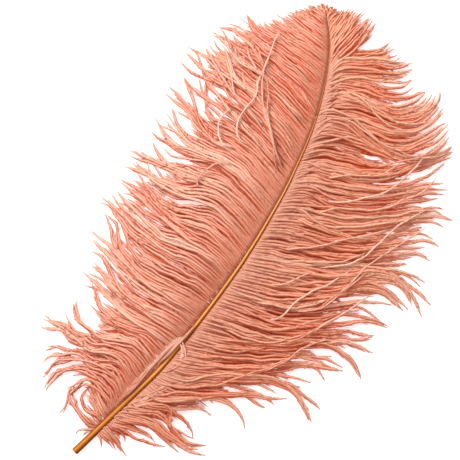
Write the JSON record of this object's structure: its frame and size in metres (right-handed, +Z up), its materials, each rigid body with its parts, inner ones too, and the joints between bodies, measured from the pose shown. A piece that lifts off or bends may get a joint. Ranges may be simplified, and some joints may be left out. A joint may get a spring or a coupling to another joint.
{
  "type": "ostrich feather",
  "caption": "Dyed ostrich plume lying flat: a bowed tapering shaft with a long soft vane of barbs on each side, drooping at the tips.",
  "frame": {"origin": "bottom centre of the feather's bounding box, on the surface it lies on", "axes": "+Y from the cut quill towards the tip of the shaft, +X towards the wider vane, +Z up from the surface"},
  "size_m": [0.27, 0.4088, 0.0102],
  "materials": {
    "shaft": "glossy golden-brown dyed keratin",
    "barbs": "soft salmon dyed barbs",
    "barbs_right": "soft salmon dyed barbs"
  },
  "bodies": {
    "root": {"shaft": "shaft", "vane_left": "barbs", "vane_right": "barbs_right"}
  },
  "joints": []
}
